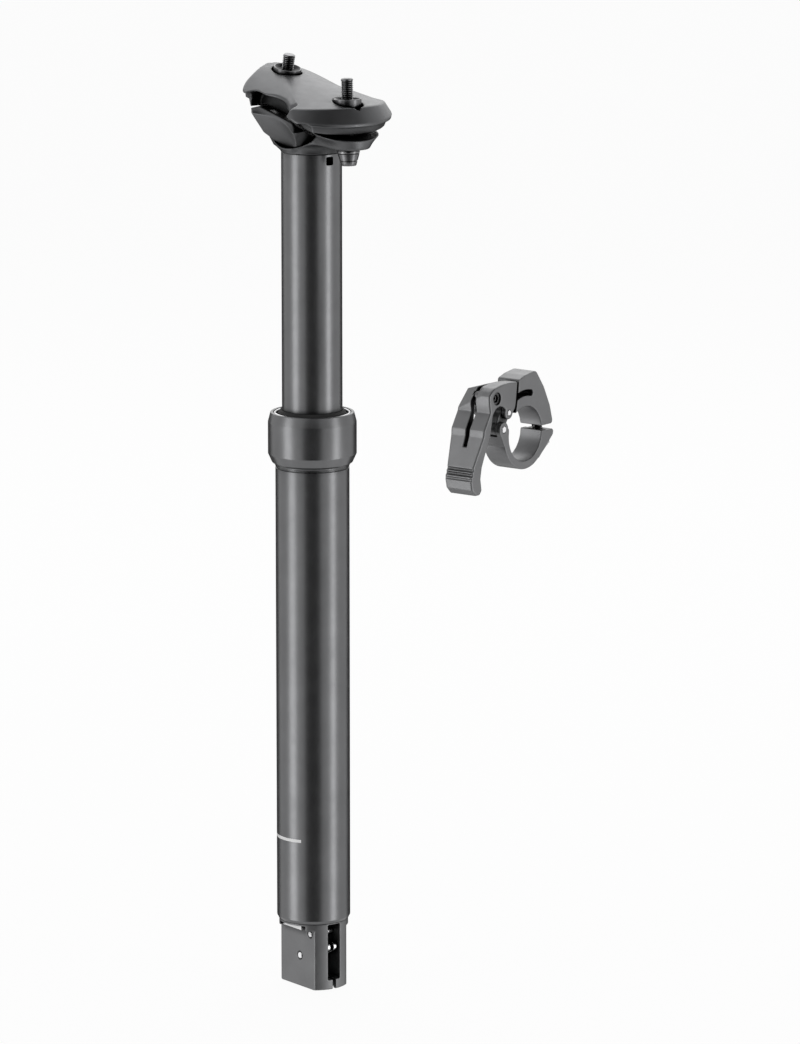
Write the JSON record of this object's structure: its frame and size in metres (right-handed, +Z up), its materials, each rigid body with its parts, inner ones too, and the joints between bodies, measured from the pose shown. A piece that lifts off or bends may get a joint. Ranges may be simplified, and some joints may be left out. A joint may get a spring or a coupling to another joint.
{
  "type": "dropper seatpost",
  "caption": "Dropper seatpost for a bicycle: a sprung inner tube slides in an outer tube, with a tilting saddle clamp on top and a thumb lever for the handlebar.",
  "frame": {"origin": "on the post's axis at the underside of the collar, where the bicycle's seat tube ends", "axes": "+Z up the post, +X forward on the bicycle, +Y to its left"},
  "size_m": [0.1776, 0.06, 0.3938],
  "materials": {
    "black_satin": "satin black anodised",
    "black_gloss": "polished black anodised",
    "black_forged": "matt black anodised forging",
    "black_cast": "matt black",
    "grey_alloy": "satin dark grey anodised",
    "rubber": "matt",
    "bright_steel": "bright",
    "dark_steel": "blackened",
    "steel": "plain",
    "brass": "plain",
    "bushing": "self-lubricating liner"
  },
  "bodies": {
    "outer_post": {"outer_tube": "black_satin", "seal_collar": "black_satin", "wiper_seal": "rubber", "wiper_clip": "bright_steel", "upper_bushing": "bushing", "actuator_housing": "black_cast", "housing_keys": "bright_steel", "lever_pin": "bright_steel", "cross_pin": "bright_steel", "gas_cylinder": "steel", "cylinder_foot": "steel", "rod_gland": "steel", "bar_clamp": "grey_alloy", "bar_strap": "grey_alloy", "strap_pin": "bright_steel", "strap_bolt": "bright_steel", "thumb_pin": "bright_steel"},
    "inner_post": {"inner_tube": "black_gloss", "seat_head": "black_forged", "piston_rod": "bright_steel", "piston": "brass", "piston_ring": "rubber", "piston_nut": "steel", "lower_bushing": "bushing", "guide_keys": "brass", "rear_bolt": "dark_steel", "rear_washers": "dark_steel"},
    "front_bolt": {"front_bolt": "dark_steel", "front_washers": "dark_steel"},
    "saddle_clamp": {"lower_cradle": "black_forged", "upper_clamp": "black_forged"},
    "front_nut": {"front_nut": "dark_steel"},
    "rear_nut": {"rear_nut": "dark_steel"},
    "rocker": {"actuator_lever": "bright_steel"},
    "valve": {"valve_pin": "bright_steel"},
    "thumb": {"thumb_lever": "grey_alloy", "cable_barrel": "dark_steel", "barrel_screw": "dark_steel"}
  },
  "joints": [
    {"name": "post_drop", "type": "slide", "parent": "outer_post", "child": "inner_post", "axis": [0, 0, -1], "range_m": [0, 0.1]},
    {"name": "clamp_tilt", "type": "hinge", "parent": "inner_post", "child": "saddle_clamp", "pos_m": [0, 0, 0.159], "axis": [0, 1, 0], "range_deg": [-12, 2]},
    {"name": "front_nut_swivel", "type": "hinge", "parent": "saddle_clamp", "child": "front_nut", "pos_m": [0.02466, 0, 0.15429], "axis": [0, 1, 0], "range_deg": [-2.4, 14.2]},
    {"name": "rear_nut_swivel", "type": "hinge", "parent": "saddle_clamp", "child": "rear_nut", "pos_m": [-0.01655, 0, 0.16336], "axis": [0, 1, 0], "range_deg": [-2.1, 12.1]},
    {"name": "front_bolt_rock", "type": "hinge", "parent": "inner_post", "child": "front_bolt", "pos_m": [0.02535, 0, 0.1346], "axis": [0, 1, 0], "range_deg": [-0.4, 2.2]},
    {"name": "thumb_turn", "type": "hinge", "parent": "outer_post", "child": "thumb", "pos_m": [0.13794, -0.0106, 0.043], "axis": [0.9636, 0.2672, 0], "range_deg": [0, 20], "stiffness_Nm_per_rad": 0.4, "springref_deg": -8.59},
    {"name": "rocker_turn", "type": "hinge", "parent": "outer_post", "child": "rocker", "pos_m": [0.0013, 0, -0.21], "axis": [0, 1, 0], "range_deg": [0, 20.2]},
    {"name": "valve_lift", "type": "slide", "parent": "outer_post", "child": "valve", "axis": [0, 0, 1], "range_m": [0, 0.0013]}
  ],
  "couplings": [
    {"joint": "front_nut_swivel", "follows": "clamp_tilt", "ratio": -1.18},
    {"joint": "rear_nut_swivel", "follows": "clamp_tilt", "ratio": -1},
    {"joint": "front_bolt_rock", "follows": "clamp_tilt", "ratio": -0.18},
    {"joint": "rocker_turn", "follows": "thumb_turn", "ratio": 1},
    {"joint": "valve_lift", "follows": "thumb_turn", "m_per_rad": 0.0034}
  ]
}
